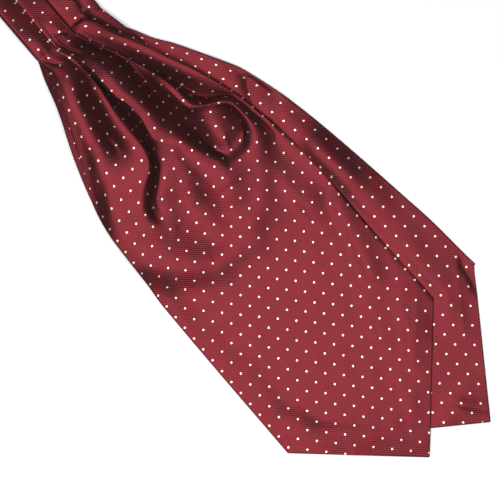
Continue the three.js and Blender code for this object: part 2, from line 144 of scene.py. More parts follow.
def toLower(x, y):
    # own place of a point on the lower blade: shifted to its point and turned back
    dx, dy = x - cut["lowerTip"][0], y - cut["lowerTip"][1]
    c, s = math.cos(cut["lowerTurn"]), math.sin(cut["lowerTurn"])
    return dx * c + dy * s, dy * c - dx * s


def fromLower(x, y):
    # the other way round: turned, then shifted to the lower blade's point
    c, s = math.cos(cut["lowerTurn"]), math.sin(cut["lowerTurn"])
    return cut["lowerTip"][0] + x * c - y * s, cut["lowerTip"][1] + x * s + y * c


# Lower blade: outline beside its own middle line and the thickness of its piled cloth

lowerOutline = [
    # x, left, right, pile
    [-397, -29.0, 29.0, 3.6],
    [-386, -31.5, 32.4, 4.0],
    [-375.5, -34.6, 36.6, 3.9],
    [-363.8, -38.8, 40.8, 3.5],
    [-349.5, -44.8, 48.2, 2.9],
    [-332, -51.6, 55.5, 2.3],
    [-314.4, -58.6, 62.7, 1.8],
    [-302, -63.2, 67.3, 1.5],
    [-278, -69.2, 71.8, 1.4],
    [-260, -72.4, 74.1, 1.4],
    [-229, -74.6, 76.2, 1.4],
    [-170, -75.4, 77.6, 1.4],
    [-110, -75.4, 78.0, 1.4],
    [0, -75.2, 76.2, 1.4],
]

lowerSwells = [
    # soft swells of its open side
    {"x": -318, "y": 58, "length": 34, "breadth": 16, "height": 2.2},
    {"x": -268, "y": 60, "length": 17, "breadth": 20, "height": 2.4},
    {"x": -212, "y": 62, "length": 40, "breadth": 11, "height": 3.9},
]


def lowerTop(x, y):
    # pile height at x plus a bell curve for each swell
    z = tableAt(lowerOutline, x.ravel())[:, 2].reshape(x.shape)
    for swell in lowerSwells:
        along = (x - swell["x"]) / swell["length"]
        across = (y - swell["y"]) / swell["breadth"]
        z = z + swell["height"] * np.exp(-along ** 2 - across ** 2)
    return z


def restHeight(x, y):
    # what the upper blade lies on: the lower one's top and a small gap, times a smooth step that
    # falls from one to nought outside the lower one's edge
    ownX, ownY = toLower(x, y)
    left = tableAt(lowerOutline, ownX.ravel())[:, 0].reshape(x.shape)
    inside = np.minimum(ownY - left, (endOfBlade(ownY) - ownX) * diagonal)
    changeFrom, changeTo = cut["coverChange"]
    upwards = smooth((changeFrom - x) / (changeFrom - changeTo))
    reach, lip = mix(*cut["coverReach"], upwards), mix(*cut["coverLip"], upwards)
    covered = smooth((inside + reach) / (reach - lip))
    return covered * (lowerTop(ownX, ownY) + cut["layGap"])


# Soft troughs and ridges laid on top of the folds: the path each follows, the breadth of the
# bell across it and its height, below zero for a trough, both at even shares of its length.
# lean is how many times as broad the bell is on the left of the path, seen along it.

upperCreases = [
    # open cloth beyond the folds
    {"path": [(-278, 7), (-264, 9), (-250, 10), (-238, 9), (-227, 5)], "breadth": (4, 7, 10, 10),
     "height": (2.2, 4.2, 5.0, 3.2), "lean": (3, 3)},
    {"path": [(-236, -17), (-248, -14), (-262, -6)], "breadth": (9, 8, 5),
     "height": (-1.6, -2.8, -1.8), "lean": (2.5, 2.5)},
    {"path": [(-252, -77), (-240, -69), (-220, -50), (-204, -28), (-202, 0), (-214, 26), (-233, 45)],
     "breadth": (14, 14, 13, 12, 12, 10, 8), "height": (3.6, 4.3, 4.2, 2.5, 1.1, 0.8, 0.2),
     "lean": (2.6, 2.3, 1.6, 1.1, 0.8, 0.7, 0.7)},
    {"path": [(-213, 50), (-194, 50), (-175, 48)], "breadth": (6, 6), "height": (1.1, 2.2, 0.9),
     "lean": (2.5, 2.5)},
    {"path": [(-180, 67), (-155, 61), (-128, 53)], "breadth": (5, 5), "height": (1.5, 1.2, 1.3),
     "lean": (2, 2)},
    {"path": [(-116, 39), (-98, 36), (-82, 29)], "breadth": (5, 5), "height": (0.5, 1.4, 0.8),
     "lean": (3, 3)},
    {"path": [(-96, 56), (-76, 47), (-62, 36)], "breadth": (5.5, 5.5), "height": (1.0, 2.0, 0.9),
     "lean": (2.5, 2.5)},
    {"path": [(-60, 24), (-43, 17), (-30, 8)], "breadth": (4, 4), "height": (0.3, 0.8, 0.4),
     "lean": (3, 3)},
    {"path": [(-124, -50), (-95, -53), (-73, -41), (-55, -27), (-38, -7)], "breadth": (8, 7),
     "height": (0.3, 0.7, 1.2, 1.4, 0.8), "lean": (3, 3)},
]
lowerCreases = [
    {"path": [(-297, 73), (-286, 64), (-266, 52)], "breadth": (7, 8), "height": (-2.8, -3.2, -2.0),
     "lean": (1.6, 1.6)},
    {"path": [(-89, 70), (-80, 68), (-72, 64)], "breadth": (3, 3), "height": (-1.0, -1.2, -0.8),
     "lean": (2.5, 2.5)},
    # cloth pressed down along the edge of the blade that covers it
    {"path": [(-222, 59), (-155, 54), (-84, 47), (-52, 8), (-24, -24)], "breadth": (6, 6),
     "height": (1.3, 1.2, 1.4, 1.2, 1.0), "lean": (2.5, 2.5)},
    {"path": [(-49, 3), (-41, 3), (-32, 4)], "breadth": (2.6, 2.6), "height": (0.5, 0.9, 0.5),
     "lean": (2, 2)},
    {"path": [(-38, -9), (-22, -4), (-8, 5)], "breadth": (3, 3), "height": (1.0, 1.2, 1.0),
     "lean": (2, 2)},
    {"path": [(-50, 19), (-40, 22), (-30, 25)], "breadth": (3, 3), "height": (0.4, 0.8, 0.4),
     "lean": (2, 2)},
]
tackCreases = [
    # pinches where the pleats are stitched down, over both the neckband and the blade
    {"path": [(-397.5, 3.6), (-397.2, 8), (-396, 14)], "breadth": (1.3, 2.0), "height": (1.1, 0.5)},
    {"path": [(-400.6, 8), (-400.2, 14)], "breadth": (1.4, 1.2), "height": (-0.6, -0.9)},
    {"path": [(-390, 7.5), (-383, 9.5), (-376, 15)], "breadth": (2.0, 3.0), "height": (-0.5, -0.6)},
    {"path": [(-396, -10.5), (-388, -7.5), (-380, -3.0)], "breadth": (1.5, 1.8),
     "height": (-0.9, -0.8)},
    {"path": [(-394, -25.4), (-388.5, -22.6), (-384, -19)], "breadth": (1.4, 1.6),
     "height": (-0.9, -0.8)},
    {"path": [(-403, -19), (-396, -21.6)], "breadth": (3.2, 3.2), "height": (0.2, 0.9)},
    {"path": [(-404, -4), (-395.5, -4.3)], "breadth": (3.4, 3.6), "height": (0.1, 0.8)},
    {"path": [(-404, -9), (-400, -2)], "breadth": (1.4, 1.4), "height": (-0.4, -0.5)},
]
seamImprint = {"inset": 14.0, "breadth": 2.2, "height": 0.16, "starts": -130.0, "over": 60.0}
rippleWaves = [
    # wavelength along the blade, wavelength across it, start; none a multiple of another
    (61, 17, 0.3),
    (-43, 39, 1.9),
    (23, -57, 4.1),
    (31, 26, 2.2),
    (-19, 35, 5.3),
]


def evenly(values, share):
    # straight lines through the values, which stand at even shares from 0 to 1
    return np.interp(share, np.linspace(0, 1, len(values)), values)


def creaseHeight(creases, x, y):
    # sum of the creases, each height * exp(-(distance to the path / breadth) squared), with the
    # height and breadth of the nearest place on the path, and the breadth times lean on its left
    z = np.zeros_like(x)
    for crease in creases:
        path = np.array(crease["path"], float)
        lengths = np.hypot(*np.diff(path, axis=0).T)
        nearest = np.full(x.shape, np.inf)
        share = np.zeros_like(x)
        leftness = np.zeros_like(x)
        for at, length in enumerate(lengths):
            unit = (path[at + 1] - path[at]) / length
            dx, dy = x - path[at, 0], y - path[at, 1]
            along = np.clip(dx * unit[0] + dy * unit[1], 0, length)
            distance = np.hypot(dx - along * unit[0], dy - along * unit[1])
            closer = distance < nearest
            offset = (dy * unit[0] - dx * unit[1]) / (distance + 1e-6)
            leftness = np.where(closer, smooth((offset + 1) / 2), leftness)
            share = np.where(closer, (lengths[:at].sum() + along) / lengths.sum(), share)
            nearest = np.minimum(nearest, distance)
        lean = evenly(crease.get("lean", (1, 1)), share)
        breadth = evenly(crease["breadth"], share) * mix(1, lean, leftness)
        z += evenly(crease["height"], share) * np.exp(-(nearest / breadth) ** 2)
    return z


def seamLine(x, y):
    # turned-in seam allowance of the pointed end: a bell curve at a fixed inset from its two
    # edges plus a smooth step up outside it, fading in towards the point
    inset = (endOfBlade(y) - x) * diagonal
    ridge = np.exp(-((inset - seamImprint["inset"]) / seamImprint["breadth"]) ** 2)
    step = smooth((seamImprint["inset"] - inset) / seamImprint["breadth"])
    shown = smooth((x - seamImprint["starts"]) / seamImprint["over"])
    return seamImprint["height"] * (ridge + step) * shown


def ripple(x, y, height):
    # faint unevenness of laid silk: the mean of crossed sine waves
    z = np.zeros_like(x)
    for lengthX, lengthY, start in rippleWaves:
        z += np.sin(2 * math.pi * (x / lengthX + y / lengthY) + start)
    return height * z / len(rippleWaves)


# Upper blade: lines that run down it from the tack line. steps is the number of strips up to the
# next line. round is how far the cloth's turn there reaches into the strips to its left and right,
# and flat how far it stays level before that turn, as shares of the strip. A line without them is
# a crease.

bladeLines = [
    {"name": "hemLeft", "steps": 4},
    {"name": "flank", "steps": 5},
    {"name": "footA", "steps": 7},
    {"name": "crestA", "steps": 14, "round": (0.5, 0.7), "flat": (0, 0.15)},
    {"name": "valleyA", "steps": 12},
    {"name": "crestAB", "steps": 8, "round": (0.8, 0.5), "flat": (0.12, 0.1)},
    {"name": "footB", "steps": 7},
    {"name": "shoulderB", "steps": 7},
    {"name": "crestB", "steps": 34, "round": (0.5, 0.9), "flat": (0, 0.2)},
    {"name": "valleyB", "steps": 6},
    {"name": "spur", "steps": 6},
    {"name": "lobe", "steps": 6},
    {"name": "hollow", "steps": 9},
    {"name": "crestBC", "steps": 12, "round": (0.8, 0.5), "flat": (0.2, 0)},
    {"name": "footC", "steps": 5},
    {"name": "lipC", "steps": 7},
    {"name": "crestC", "steps": 6, "round": (0.7, 0.7)},
    {"name": "hemRight", "steps": 2},
    {"name": "flangeFoot", "steps": 2},
    {"name": "flangeEdge", "steps": 0},
]
noTurn = (0, 0)
lineAt = {}  # column of each line: the steps of all lines before it
for line in bladeLines:
    lineAt[line["name"]] = sum(earlier["steps"] for earlier in bladeLines[:len(lineAt)])

# y of each line, a row for each section of the blade: x, then the lines in the order above
foldPlan = [
    [-397, -29.6, -29.3, -29.0, -28.2, -16.2, -15.4, -14.8, -14.4, -14.0, 0.9, 1.2, 1.4, 1.5, 1.8, 2.1,
     2.6, 11.5, 17.4, 17.8, 28.8],
    [-391, -31.5, -30.0, -28.6, -27.2, -14.4, -13.6, -12.8, -12.4, -11.8, 3.7, 4.0, 4.2, 4.3, 4.6, 4.9,
     5.4, 16.0, 20.6, 21.0, 29.9],
    [-384, -34.2, -30.9, -27.8, -24.9, -11.8, -10.9, -9.9, -9.3, -8.5, 6.1, 6.4, 6.6, 6.7, 7.0, 7.3,
     7.8, 19.4, 23.4, 23.8, 31.4],
    [-376, -36.6, -33.2, -29.6, -25.8, -11.0, -9.4, -8.2, -7.3, -6.2, 10.1, 10.4, 10.6, 10.7, 11.0,
     11.3, 11.8, 23.0, 26.6, 27.0, 33.1],
    [-366, -39.5, -36.2, -32.2, -28.6, -13.6, -8.6, -6.8, -5.8, -4.6, 15.2, 15.5, 15.7, 15.8, 16.1,
     16.4, 16.9, 28.0, 31.4, 31.8, 35.4],
    [-354, -43.8, -40.4, -36.0, -32.0, -19.4, -9.2, -6.6, -5.8, -4.4, 19.2, 19.6, 20.0, 20.4, 20.9,
     21.6, 22.8, 32.6, 36.4, 36.8, 37.4],
    [-342, -48.9, -44.9, -40.0, -35.2, -21.8, -10.8, -7.2, -5.6, -3.8, 19.0, 20.8, 22.2, 23.4, 25.6,
     27.8, 29.0, 37.6, 41.1, 41.5, 41.9],
    [-330, -53.8, -50.0, -44.6, -38.4, -25.0, -12.9, -6.2, -3.2, -0.6, 18.6, 21.4, 23.8, 26.2, 29.6,
     32.8, 34.4, 43.0, 46.6, 47.0, 47.4],
    [-318, -58.2, -55.0, -49.2, -40.8, -26.4, -13.4, -6.8, -3.2, 0.2, 19.4, 22.8, 25.4, 28.2, 31.7,
     36.6, 39.2, 48.4, 51.7, 52.1, 52.5],
    [-310, -60.9, -58.4, -53.4, -44.0, -27.0, -12.9, -7.9, -4.0, -1.6, 20.2, 23.6, 26.2, 28.8, 32.3,
     39.0, 42.2, 52.0, 54.8, 55.2, 55.6],
    [-302, -63.4, -61.4, -57.2, -46.6, -28.4, -12.6, -9.2, -5.8, -3.0, 21.4, 25.2, 27.8, 30.6, 33.8,
     43.0, 47.2, 55.4, 57.7, 58.1, 58.5],
    [-296, -65.1, -63.6, -60.0, -50.4, -30.6, -13.6, -10.6, -6.8, -1.0, 22.6, 28.8, 33.2, 37.0, 40.2,
     49.6, 53.0, 58.0, 59.8, 60.2, 60.6],
    [-290, -66.9, -65.6, -62.6, -54.6, -34.0, -15.8, -13.4, -8.6, 2.6, 23.6, 31.8, 39.0, 45.6, 51.0,
     59.0, 59.9, 60.8, 61.8, 62.2, 62.6],
    [-284, -68.5, -67.2, -64.6, -58.2, -38.6, -22.0, -17.0, -11.0, 7.2, 24.0, 32.2, 41.0, 51.4, 56.4,
     61.3, 62.0, 62.7, 63.5, 63.9, 64.3],
    [-278, -69.7, -68.4, -66.2, -61.0, -43.2, -31.6, -22.8, -16.6, 9.8, 24.2, 32.2, 41.0, 52.4, 57.2,
     62.7, 63.4, 64.1, 64.9, 65.3, 65.7],
    [-272, -70.7, -69.4, -67.4, -62.6, -47.0, -37.4, -29.4, -23.2, 13.0, 24.8, 32.2, 40.4, 52.0, 57.4,
     63.5, 64.3, 65.1, 65.9, 66.3, 66.7],
    [-266, -71.4, -70.2, -68.6, -64.4, -50.0, -41.4, -35.2, -29.4, 15.6, 26.2, 32.4, 37.8, 50.4, 57.2,
     63.8, 65.0, 65.9, 66.8, 67.2, 67.6],
    [-258, -71.9, -70.9, -69.4, -65.8, -52.4, -43.4, -37.4, -31.6, 18.6, 29.0, 32.0, 34.6, 45.0, 55.3,
     65.0, 66.2, 67.4, 68.6, 69.0, 69.4],
    [-250, -72.3, -71.3, -69.8, -66.0, -52.0, -43.0, -37.0, -32.0, 19.6, 26.0, 30.0, 33.6, 40.0, 51.8,
     64.6, 66.4, 68.2, 69.3, 70.3, 70.6],
    [-240, -72.7, -71.4, -69.4, -64.4, -51.6, -43.0, -36.6, -29.6, 17.0, 24.6, 31.0, 34.6, 38.2, 45.5,
     59.6, 63.8, 67.4, 70.5, 71.5, 71.8],
    [-225, -73.4, -71.2, -68.0, -62.0, -50.0, -40.6, -33.4, -26.0, 10.0, 19.4, 26.8, 30.4, 34.0, 41.6,
     56.0, 61.6, 66.8, 71.6, 72.6, 72.9],
    [-205, -75.0, -71.2, -66.4, -58.8, -47.0, -37.0, -28.6, -20.6, 3.0, 13.6, 21.4, 24.9, 28.4, 35.6,
     50.6, 58.0, 66.0, 72.6, 73.6, 73.9],
    [-150, -75.3, -70.6, -65.0, -55.0, -42.5, -32.0, -23.0, -14.6, 0.0, 9.4, 17.0, 20.2, 23.4, 30.0,
     43.0, 52.5, 63.5, 72.9, 73.9, 74.2],
    [0, -75.0, -70.4, -64.8, -54.8, -42.2, -31.6, -22.6, -14.2, 0.0, 9.4, 17.0, 20.2, 23.4, 30.0, 43.0,
     52.5, 63.8, 74.5, 75.5, 75.8],
]

# heights of the same lines above what the blade lies on
foldHeight = [
    [-397, 1.3, 1.9, 2.6, 3.6, 2.9, 2.7, 2.5, 3.4, 4.2, 3.0, 2.9, 2.8, 2.8, 2.7, 2.6, 4.1, 4.9, 4.6,
     2.6, 2.2],
    [-391, 1.4, 2.0, 2.9, 3.9, 2.2, 2.1, 2.0, 4.2, 5.6, 2.0, 1.9, 1.9, 1.8, 1.7, 1.6, 4.0, 5.4, 4.8,
     3.0, 2.4],
    [-384, 2.6, 3.2, 4.1, 5.2, 1.8, 1.8, 1.7, 5.4, 8.0, 2.0, 1.9, 1.9, 1.8, 1.7, 1.6, 3.8, 6.2, 5.3,
     3.4, 2.6],
    [-376, 4.0, 4.6, 5.5, 6.3, 1.5, 1.9, 1.6, 7.4, 10.8, 2.0, 1.9, 1.9, 1.8, 1.7, 1.6, 3.4, 7.2, 6.0,
     3.8, 2.9],
    [-366, 5.2, 5.7, 6.4, 7.2, 1.4, 4.2, 2.0, 9.6, 13.8, 2.0, 1.9, 1.9, 1.8, 1.7, 1.6, 2.8, 8.2, 7.6,
     5.4, 4.4],
    [-354, 6.0, 6.4, 6.9, 7.4, 1.4, 7.2, 3.0, 10.6, 16.0, 1.5, 1.7, 1.9, 2.1, 2.3, 1.5, 2.6, 9.0, 8.7,
     8.2, 7.6],
    [-342, 6.0, 6.1, 6.5, 7.4, 1.4, 8.4, 2.4, 11.0, 16.2, 1.4, 2.4, 3.4, 4.0, 4.4, 1.6, 2.6, 9.0, 8.8,
     8.4, 8.0],
    [-330, 5.4, 5.5, 6.0, 7.3, 1.5, 8.6, 2.0, 9.8, 15.0, 1.4, 4.4, 7.4, 9.0, 9.5, 1.6, 2.9, 9.0, 8.8,
     8.4, 8.0],
    [-318, 4.5, 4.7, 5.2, 7.9, 1.7, 8.2, 1.8, 8.2, 13.0, 1.4, 5.8, 9.2, 11.1, 11.5, 1.6, 3.0, 8.4, 8.2,
     7.8, 7.4],
    [-310, 3.8, 4.0, 4.6, 7.5, 2.8, 7.6, 1.7, 7.4, 12.0, 1.3, 5.8, 9.2, 11.2, 11.7, 1.6, 3.0, 7.4, 7.2,
     6.8, 6.4],
    [-302, 3.3, 3.4, 3.9, 7.0, 5.0, 7.2, 1.6, 7.6, 11.2, 1.3, 6.0, 9.4, 11.2, 11.6, 1.6, 3.0, 6.0, 5.9,
     5.5, 5.1],
    [-296, 2.6, 2.8, 3.3, 6.7, 6.2, 7.0, 1.5, 7.8, 10.4, 1.3, 6.4, 9.4, 10.8, 11.4, 1.6, 2.5, 4.6, 4.5,
     4.1, 3.7],
    [-290, 2.3, 2.5, 3.3, 6.5, 6.3, 6.8, 1.5, 7.6, 9.6, 1.3, 7.6, 9.6, 10.2, 11.0, 2.0, 2.3, 3.0, 2.9,
     2.5, 2.1],
    [-284, 2.3, 2.7, 3.5, 6.1, 6.2, 6.5, 1.5, 7.4, 8.5, 1.3, 7.6, 8.8, 6.0, 10.4, 1.9, 2.0, 2.3, 2.2,
     1.7, 1.3],
    [-278, 2.8, 3.3, 4.2, 5.7, 5.9, 6.3, 1.5, 6.9, 7.4, 1.4, 7.2, 8.0, 2.6, 9.8, 1.7, 1.8, 2.1, 2.0,
     1.5, 1.1],
    [-272, 3.5, 3.9, 4.4, 5.2, 5.6, 6.0, 1.5, 6.4, 6.6, 1.5, 6.6, 7.0, 1.7, 9.0, 1.6, 1.7, 2.0, 1.9,
     1.4, 1.0],
    [-266, 4.1, 4.4, 4.6, 5.0, 5.3, 5.6, 1.7, 5.9, 6.0, 1.6, 5.2, 5.6, 1.7, 8.2, 2.2, 1.7, 1.9, 1.8,
     1.3, 0.9],
    [-258, 4.3, 4.5, 4.6, 4.8, 4.9, 5.0, 2.2, 5.1, 5.4, 1.9, 2.6, 2.5, 2.2, 7.2, 2.4, 2.2, 2.1, 2.0,
     1.2, 0.8],
    [-250, 4.1, 4.2, 4.3, 4.5, 4.5, 4.5, 4.4, 4.6, 5.0, 4.9, 4.9, 4.9, 4.9, 6.2, 2.4, 2.1, 1.9, 1.6,
     0.6, 0.2],
    [-240, 3.3, 3.4, 3.4, 3.6, 3.8, 3.9, 3.9, 4.0, 4.1, 4.1, 4.1, 4.2, 4.2, 4.9, 2.4, 1.9, 1.8, 1.3,
     0.6, 0.2],
    [-225, 1.8, 1.9, 2.0, 2.3, 2.9, 3.0, 3.0, 3.1, 3.1, 3.1, 3.1, 3.2, 3.2, 3.4, 2.3, 1.8, 1.6, 1.2,
     0.6, 0.2],
    [-205, 1.2, 1.2, 1.3, 1.8, 2.1, 2.1, 2.1, 2.2, 2.2, 2.2, 2.2, 2.2, 2.2, 2.3, 1.8, 1.5, 1.3, 1.1,
     0.6, 0.2],
    [-150, 1.2, 1.2, 1.2, 1.2, 1.2, 1.2, 1.2, 1.2, 1.2, 1.2, 1.2, 1.2, 1.2, 1.2, 1.2, 1.2, 1.2, 1.1,
     0.6, 0.2],
    [0, 1.2, 1.2, 1.2, 1.2, 1.2, 1.2, 1.2, 1.2, 1.2, 1.2, 1.2, 1.2, 1.2, 1.2, 1.2, 1.2, 1.2, 1.1, 0.6,
     0.2],
]


def turningShare(w, first, last, flatFirst, flatLast):
    # how much of the climb between two lines is done at w: none over the flat part at either end,
    # then the slope grows over the round part, as u / sqrt(round2 + u2), and is evened to add up
    # to one
    fine = np.linspace(0, 1, 401)
    middle = (fine[1:] + fine[:-1]) / 2
    fromFirst, fromLast = np.maximum(middle - flatFirst, 0), np.maximum(1 - flatLast - middle, 0)
    slope = fromFirst / np.hypot(first, fromFirst + 1e-9) * fromLast / np.hypot(last, fromLast + 1e-9)
    climbed = np.concatenate([[0], np.cumsum(slope)])
    return np.interp(w, fine, climbed / climbed[-1])


def foldedFace(x):
    # Sections across the upper blade at x: each line's place and height from the tables, and
    # between two lines an even step in y and a turning climb in height. Returns x, y and the
    # rise above the rest.
    plan, height = tableAt(foldPlan, x), tableAt(foldHeight, x)
    ys, rises = [], []
    for at, line in enumerate(bladeLines[:-1]):
        steps = line["steps"]
        w = (np.arange(steps) / steps)[None, :]
        following = bladeLines[at + 1]
        share = turningShare(w, line.get("round", noTurn)[1], following.get("round", noTurn)[0],
                             line.get("flat", noTurn)[1], following.get("flat", noTurn)[0])
        ys.append(mix(plan[:, at:at + 1], plan[:, at + 1:at + 2], w))
        rises.append(mix(height[:, at:at + 1], height[:, at + 1:at + 2], share))
    ys.append(plan[:, -1:])
    rises.append(height[:, -1:])
    y, rise = np.hstack(ys), np.hstack(rises)
    lean = clamp01(1 - x / cut["endZone"])[:, None]
    place = np.where(lean > 0, mix(cut["endZone"], endOfBlade(y), lean), x[:, None])
    return place, y, rise


# Cloth coordinates. along follows the blade, with the cloth a little tighter in the neckband;
# across is the distance from the cloth's middle line, measured over the folds.

clothMap = {
    "openX": -306.0,      # where the pleats have opened fully
    "lineA": -48.1,       # across at the crests of the first and second pleats
    "lineB": -6.3,
    "openBefore": 30.0,   # they start to open this far before it
    "openOver": 45.0,     # and are open after this much more
    "shear": 0.083,       # the cloth is cut on the bias, so its rows of dots slant over the blade
    "shearMore": 0.00035,
    "shearFrom": -360.0,  # the slant grows from here
    "shearOver": 90.0,
}

clothTaken = [
    # x, extra length of cloth taken up by the folds since the flat part, and the drift of the
    # rows across the blade
    [-597, -42.7, 0.0],
    [-397, -15.5, 0.0],
    [-360, -11.6, 0.0],
    [-320, -9.2, -0.4],
    [-280, -7.6, -1.8],
    [-260, -6.4, -2.4],
    [-220, -3.2, -3.0],
    [-200, -1.9, -2.8],
    [-160, -0.6, -2.5],
    [-100, 0.0, -2.2],
    [0, 0.8, -1.2],
]


def alongCloth(x, y):
    # x plus what the folds take up, and the slant of the rows: a y and a y squared term that
    # fade out in the neckband
    taken = tableAt(clothTaken, np.maximum(x, bandStart).ravel())[:, 0].reshape(x.shape)
    slant = clothMap["shear"] * y + clothMap["shearMore"] * y * y
    return x + taken + slant * smooth((x - clothMap["shearFrom"]) / clothMap["shearOver"])


def acrossShift(x):
    # how far the rows of dots have drifted across the blade at x, from the table
    return tableAt(clothTaken, x.ravel())[:, 1].reshape(x.shape)


def acrossCloth(x, y, z):
    # Length over the folds from the left hem, scaled to the cut's width where the pleats are
    # open. Nearer the tack line the crests keep their place in the cloth and each stretch is
    # measured from its crest, so what a pleat hides is taken up under its lip.
    step = np.hypot(np.diff(y, axis=1), np.diff(z, axis=1))
    length = np.hstack([np.zeros((len(y), 1)), np.cumsum(step, axis=1)])
    right = lineAt["hemRight"]
    width = cut["width"]
    opened = -width / 2 + width * length / length[:, right:right + 1]
    openRow = int(np.argmin(np.abs(x[:, 0] - clothMap["openX"])))
    pleated = np.empty_like(length)
    starts = [0, lineAt["crestA"], lineAt["crestB"], lineAt["lipC"]]
    feet = [lineAt["flank"], lineAt["footB"], lineAt["footC"], length.shape[1]]
    places = [-width / 2, clothMap["lineA"], clothMap["lineB"], None]
    for start, foot, place in zip(starts, feet, places):
        if place is None:
            pleated[:, start:] = width / 2 - (length[:, right:right + 1] - length[:, start:])
        else:
            pleated[:, start:foot + 1] = place + length[:, start:foot + 1] - length[:, start:start + 1]
    for start, foot in zip(starts[1:], feet[:-1]):
        lip = slice(foot + 1, start)
        pleated[:, lip] = pleated[:, start:start + 1] - length[:, start:start + 1] + length[:, lip]
    opening = x[:, :1] - x[openRow, 0] + clothMap["openBefore"]
    return mix(pleated, opened, smooth(opening / clothMap["openOver"]))


rim = {"steps": 6, "reach": 0.56}  # faces round a rolled edge, and how far it stands out at most


def wallMesh(name, top, bottom, along, across, rollFirst=False, rollLast=True, creased=()):
    # Closed wall between two grids of points in millimetres. The rim turns from the top to the
    # bottom on a half circle about their middle, outwards in plan, or straight down where the
    # next piece begins. The map coordinates are metres of cloth. Columns in creased keep a hard
    # edge.
    rows, columns = top.shape[:2]
    count = rows * columns
    ids = np.arange(count).reshape(rows, columns)
    a, b, c, d = ids[:-1, :-1], ids[1:, :-1], ids[1:, 1:], ids[:-1, 1:]
    upper = np.stack([a, b, c, d], -1).reshape(-1, 4)
    lower = upper[:, ::-1] + count
    edge = np.concatenate([ids[0], ids[1:, -1], ids[-1, -2::-1], ids[-2:0:-1, 0]])
    flatTop, flatBottom = top.reshape(-1, 3), bottom.reshape(-1, 3)
    before, after = flatTop[np.roll(edge, 1)], flatTop[np.roll(edge, -1)]
    outward = np.stack([before[:, 1] - after[:, 1], after[:, 0] - before[:, 0]], -1)
    outward /= np.linalg.norm(outward, axis=1)[:, None] + 1e-9
    rowOf = edge // columns
    rolls = ~(((rowOf == 0) & (not rollFirst)) | ((rowOf == rows - 1) & (not rollLast)))
    middle = (flatTop[edge] + flatBottom[edge]) / 2
    half = (flatTop[edge, 2] - flatBottom[edge, 2]) / 2
    angles = np.linspace(0, math.pi, rim["steps"] + 1)[1:-1]
    ring = np.repeat(middle[None], len(angles), 0)
    reach = np.minimum(half, rim["reach"]) * rolls
    ring[:, :, :2] += np.sin(angles)[:, None, None] * (outward * reach[:, None])[None]
    ring[:, :, 2] += np.cos(angles)[:, None] * half[None]
    points = np.concatenate([flatTop, flatBottom, ring.reshape(-1, 3)])
    size = len(edge)
    loops = np.concatenate([edge[None], 2 * count + np.arange(len(angles) * size).reshape(-1, size),
                            (edge + count)[None]])
    turned = np.roll(loops, -1, axis=1)
    side = np.stack([loops[:-1], turned[:-1], turned[1:], loops[1:]], -1).reshape(-1, 4)
    faces = np.concatenate([upper, lower, side])
    points = (points + [originX, originY, 0]) * mm
    cloth = np.stack([along.ravel(), across.ravel()], -1)
    cloth = np.concatenate([cloth, cloth, np.tile(cloth[edge], (len(angles), 1))]) * mm
    mesh = bpy.data.meshes.new(name)
    mesh.vertices.add(len(points))
    mesh.vertices.foreach_set("co", points.astype(np.float32).ravel())
    mesh.loops.add(faces.size)
    mesh.loops.foreach_set("vertex_index", faces.ravel().astype(np.int32))
    mesh.polygons.add(len(faces))
    mesh.polygons.foreach_set("loop_start", np.arange(0, faces.size, 4, dtype=np.int32))
    mesh.polygons.foreach_set("loop_total", np.full(len(faces), 4, np.int32))
    mesh.update(calc_edges=True)
    clothPlaces = mesh.uv_layers.new(name="cloth")
    clothPlaces.data.foreach_set("uv", cloth[faces.ravel()].astype(np.float32).ravel())
    mesh.polygons.foreach_set("use_smooth", np.ones(len(faces), bool))
    # creased columns and the straight seam ends keep their edges
    group = np.zeros(len(points), np.int32)
    for at, column in enumerate(creased):
        group[ids[:, column]] = at + 1
    if not rollFirst:
        group[ids[0]] = -1
    if not rollLast:
        group[ids[-1]] = -2
    ends = np.empty(len(mesh.edges) * 2, np.int32)
    mesh.edges.foreach_get("vertices", ends)
    first, second = group[ends.reshape(-1, 2)].T
    hardEdges = mesh.attributes.new("sharp_edge", "BOOLEAN", "EDGE")
    hardEdges.data.foreach_set("value", (first == second) & (first != 0))
    mesh.validate()
    piece = bpy.data.objects.new(name, mesh)
    bpy.context.scene.collection.objects.link(piece)
    return piece


def underSide(x, y, z, thickness, rest):
    # as thick on a slope as on the flat: the wall times the steepness of the face, up to a limit,
    # and never below what the cloth lies on
    leastStep, steepest = 0.05, 3
    across = np.gradient(z, axis=1) / np.maximum(np.abs(np.gradient(y, axis=1)), leastStep)
    along = np.gradient(z, axis=0) / np.maximum(np.abs(np.gradient(x, axis=0)), leastStep)
    steepness = np.minimum(steepest, np.sqrt(1 + across ** 2 + along ** 2))
    return np.maximum(rest, z - thickness * steepness)


say("silk")

silk = {
    "ground": (0.061, 0.0025, 0.0056),
    "paler": (1.06, 1.12, 1.10),   # the ground's slow change of tone goes from darker to paler
    "darker": (0.90, 0.84, 0.84),
    "toneScale": 26.0,
    "dot": (0.42, 0.36, 0.24),
    "dotSize": 0.78,          # radius, millimetres
    "dotBlur": 0.14,          # how soft its edge is, millimetres to either side
    "dotFray": 0.34,          # how ragged the edge is
    "frayScale": 1600.0,
    "dotRelief": 1.4,         # in rib depths
    "dotStep": (10.45, 9.25),           # along and across the cloth
    "upperStart": (-157.7, 3.4),        # one dot of the upper blade, and one of the lower
    "lowerStart": (-118.2, 69.4),
    "upperTone": 1.0,         # any two numbers, so that the blades' tones differ
    "lowerTone": 7.0,
    "ribStep": 1.46,          # millimetres from rib to rib
    "ribDepth": 0.03,         # millimetres
    "weft": 0.35,             # depth of the ribs the other way, as a share
    "roughness": 0.46,
    "ribRoughness": 0.02,     # more on the ribs, less between them
    "metallic": 0.9,
    "coat": 0.3,              # pale bloom of the thread ends over the coloured sheen
    "coatRoughness": 0.9,
}


def wire(tree, source, target):
    # joins two sockets
    tree.links.new(source, target)


